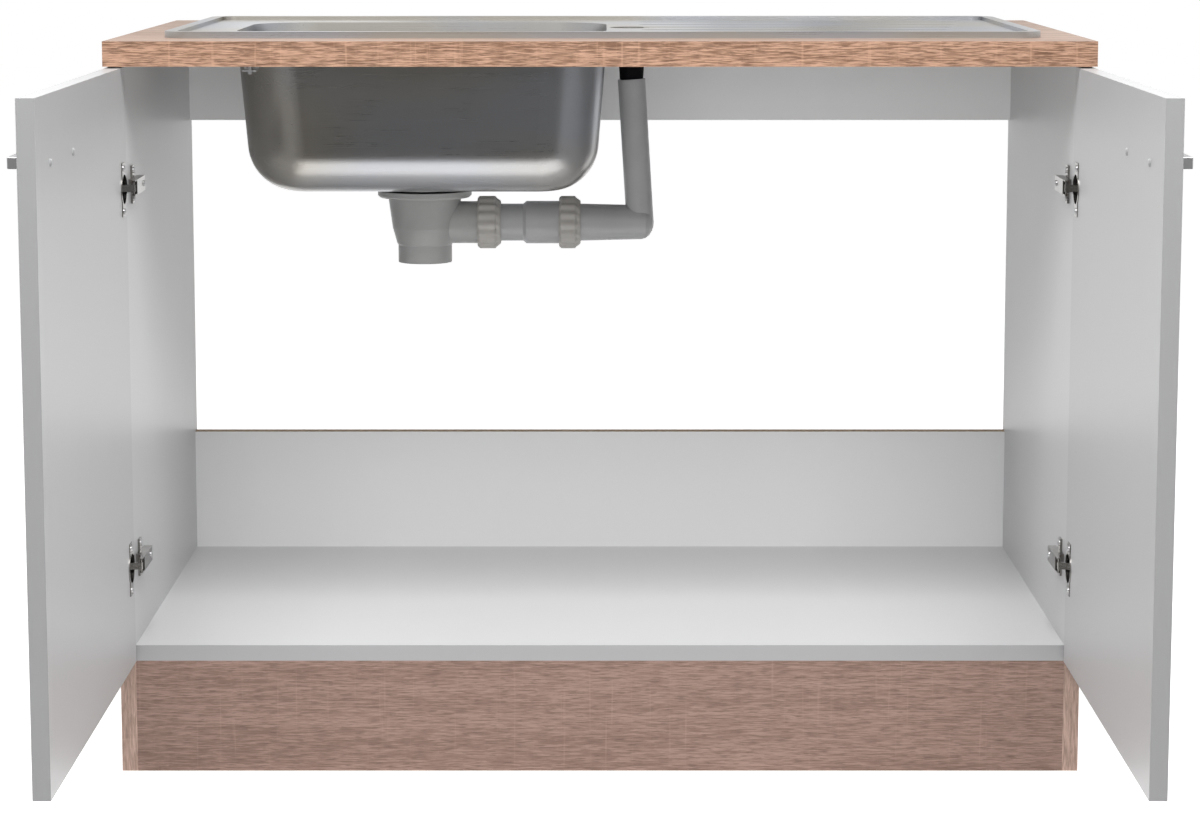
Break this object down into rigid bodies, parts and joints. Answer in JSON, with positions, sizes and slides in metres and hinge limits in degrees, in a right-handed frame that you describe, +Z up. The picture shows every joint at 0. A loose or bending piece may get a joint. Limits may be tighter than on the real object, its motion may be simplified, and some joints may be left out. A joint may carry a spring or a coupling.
{
  "type": "kitchen sink base unit",
  "caption": "Two-door kitchen base unit with a laid-on worktop, inset steel sink with drainer, basket waste with overflow, open back and doors on concealed hinges.",
  "frame": {"origin": "centre of the plinth board's underside, on the floor", "axes": "+X to the right seen from the front, +Y towards the wall, +Z up"},
  "size_m": [1.144, 1.1115, 0.8475],
  "materials": {
    "white_board": "satin white melamine on chipboard",
    "white_edging": "satin",
    "oak_board": "satin printed oak grain",
    "oak_edging": "satin printed oak grain",
    "beech": "raw",
    "plated_steel": "bright plated",
    "stainless_steel": "brushed stainless steel",
    "polished_steel": "polished stainless steel",
    "black_rubber": "matte",
    "grey_plastic": "satin",
    "nut_plastic": "satin",
    "handle_metal": "satin",
    "hinge_steel": "nickel-plated"
  },
  "bodies": {
    "cabinet": {"worktop": "oak_board", "worktop_front_edging": "oak_edging", "worktop_end_edgings": "oak_edging", "side_panel_left": "white_board", "side_panel_right": "white_board", "side_edging_left": "oak_edging", "side_edging_right": "oak_edging", "floor_panel": "white_board", "floor_edging": "white_edging", "plinth_board": "oak_board", "upper_back_rail": "white_board", "lower_back_panel": "white_board", "dowels": "beech", "cam_fittings": "plated_steel", "sink": "stainless_steel", "sink_seal": "black_rubber", "sink_clamps": "plated_steel", "clamp_screws": "plated_steel", "strainer_body": "polished_steel", "strainer_seal": "black_rubber", "strainer_screw": "plated_steel", "waste_gasket": "black_rubber", "waste_body": "grey_plastic", "union_nut_inner": "nut_plastic", "union_nut_outer": "nut_plastic", "sealing_rings": "black_rubber", "coupling_pipe": "grey_plastic", "overflow_pipe": "grey_plastic", "overflow_boot": "black_rubber", "overflow_cover": "polished_steel", "overflow_screw": "plated_steel", "mounting_plates": "plated_steel", "plate_screws": "plated_steel", "arm_screws": "plated_steel", "arm_pins": "plated_steel", "hinge_arm_left_lower": "hinge_steel", "hinge_arm_left_upper": "hinge_steel", "hinge_arm_right_lower": "hinge_steel", "hinge_arm_right_upper": "hinge_steel"},
    "hinge_links_left": {"hinge_link_left_lower": "hinge_steel", "hinge_link_left_upper": "hinge_steel"},
    "hinge_links_right": {"hinge_link_right_lower": "hinge_steel", "hinge_link_right_upper": "hinge_steel"},
    "door_left": {"door_left": "white_board", "handle_left": "handle_metal", "handle_screws_left": "plated_steel", "hinge_cup_left_lower": "hinge_steel", "hinge_cup_left_upper": "hinge_steel", "cup_pins_left": "plated_steel", "cup_screws_left": "plated_steel"},
    "door_right": {"door_right": "white_board", "handle_right": "handle_metal", "handle_screws_right": "plated_steel", "hinge_cup_right_lower": "hinge_steel", "hinge_cup_right_upper": "hinge_steel", "cup_pins_right": "plated_steel", "cup_screws_right": "plated_steel"},
    "basket": {"strainer_basket": "polished_steel", "basket_knob": "polished_steel", "basket_plug": "black_rubber"}
  },
  "joints": [
    {"name": "left_door_swing", "type": "hinge", "parent": "cabinet", "child": "door_left", "pos_m": [-0.53975, -0.02075, 0.4585], "axis": [0, 0, 1], "range_deg": [-5, 90]},
    {"name": "left_link_swing", "type": "hinge", "parent": "cabinet", "child": "hinge_links_left", "pos_m": [-0.522, -0.02075, 0.4595], "axis": [0, 0, 1], "range_deg": [-30.2, 1.8]},
    {"name": "right_door_swing", "type": "hinge", "parent": "cabinet", "child": "door_right", "pos_m": [0.53975, -0.02075, 0.4585], "axis": [0, 0, -1], "range_deg": [-5, 90]},
    {"name": "right_link_swing", "type": "hinge", "parent": "cabinet", "child": "hinge_links_right", "pos_m": [0.522, -0.02075, 0.4595], "axis": [0, 0, -1], "range_deg": [-30.2, 1.8]},
    {"name": "basket_lift", "type": "slide", "parent": "cabinet", "child": "basket", "axis": [0, 0, 1], "range_m": [0, 0.3]}
  ],
  "couplings": [
    {"joint": "left_link_swing", "follows": "left_door_swing", "ratio": -0.33322},
    {"joint": "right_link_swing", "follows": "right_door_swing", "ratio": -0.33322}
  ]
}
